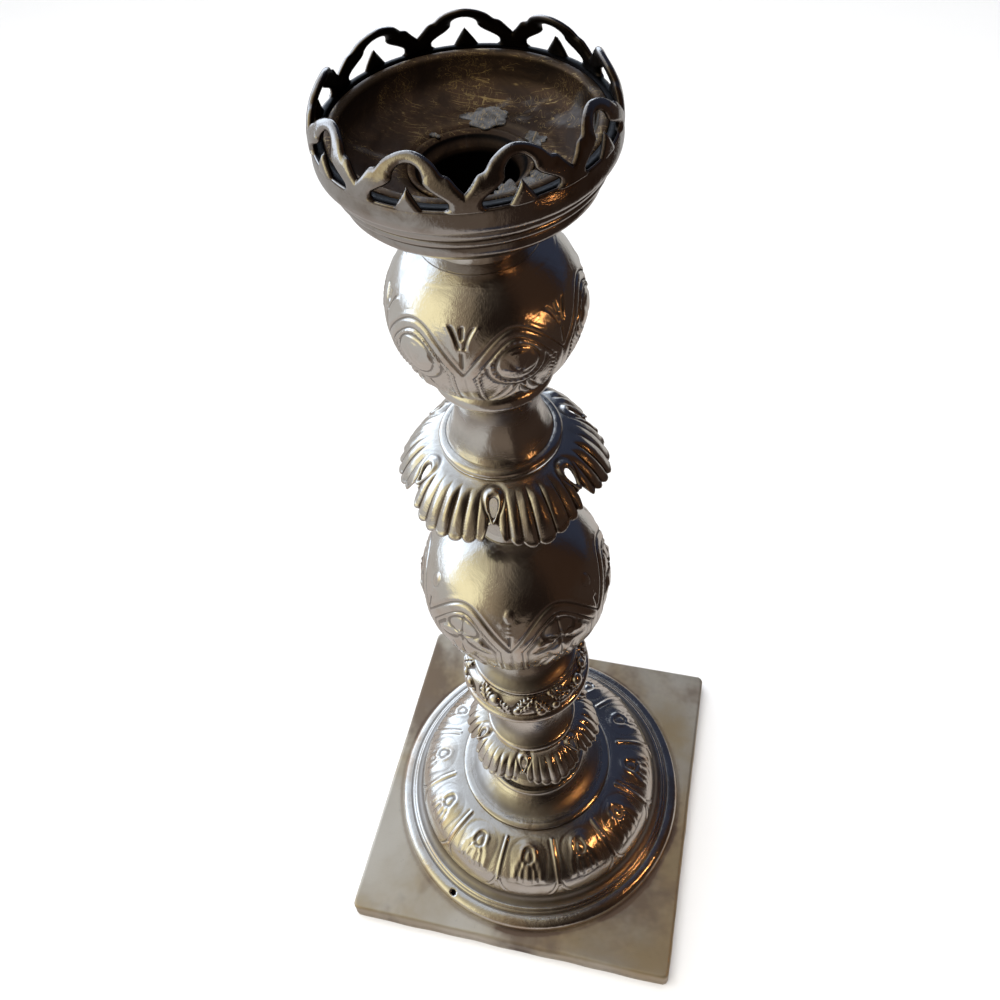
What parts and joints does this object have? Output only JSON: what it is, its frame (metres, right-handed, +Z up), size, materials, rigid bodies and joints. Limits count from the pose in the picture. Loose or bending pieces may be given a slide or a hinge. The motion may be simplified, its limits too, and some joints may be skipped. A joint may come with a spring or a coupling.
{
  "type": "altar candlestick",
  "caption": "Table-height altar candlestick: square base, domed foot, globe-knopped stem with leaf collars, and a lift-off candle cup with a pierced gallery.",
  "frame": {"origin": "centre of the square base's underside, on the surface it stands on", "axes": "+Z up along the stem's axis; X and Y square to the base's sides"},
  "size_m": [0.125, 0.125, 0.3476],
  "materials": {
    "silver_plate": "polished silver plate over brass, worn, tarnished in the hollows",
    "satin_plate": "dull satin plate with brown and yellow stains",
    "tarnished_brass": "dark brown tarnish with fine golden scratches",
    "steel": "dull turned steel",
    "board_wood": "stained, unvarnished"
  },
  "bodies": {
    "stem": {"base_plate": "satin_plate", "base_board": "board_wood", "foot_dome": "silver_plate", "bell_riser": "silver_plate", "riser_ring": "silver_plate", "riser_neck": "silver_plate", "lower_leaf_collar": "silver_plate", "lower_spool": "silver_plate", "knop_ring": "silver_plate", "knop_cup": "silver_plate", "neck_dish": "silver_plate", "lower_globe": "silver_plate", "collar_neck": "silver_plate", "upper_leaf_collar": "silver_plate", "spool_ring": "silver_plate", "upper_spool": "silver_plate", "seat_ring": "silver_plate", "upper_globe": "silver_plate", "top_ferrule": "silver_plate", "base_washer": "steel", "base_nut": "steel", "top_washer": "steel", "top_nut": "steel", "tie_rod": "steel"},
    "candle_cup": {"candle_socket": "tarnished_brass", "cup_pan": "tarnished_brass", "cup_bowl": "silver_plate", "cup_moulding": "silver_plate", "cup_rim": "silver_plate", "cup_gallery": "silver_plate"}
  },
  "joints": [
    {"name": "cup_lift", "type": "slide", "parent": "stem", "child": "candle_cup", "axis": [0, 0, 1], "range_m": [0, 0.03]}
  ]
}
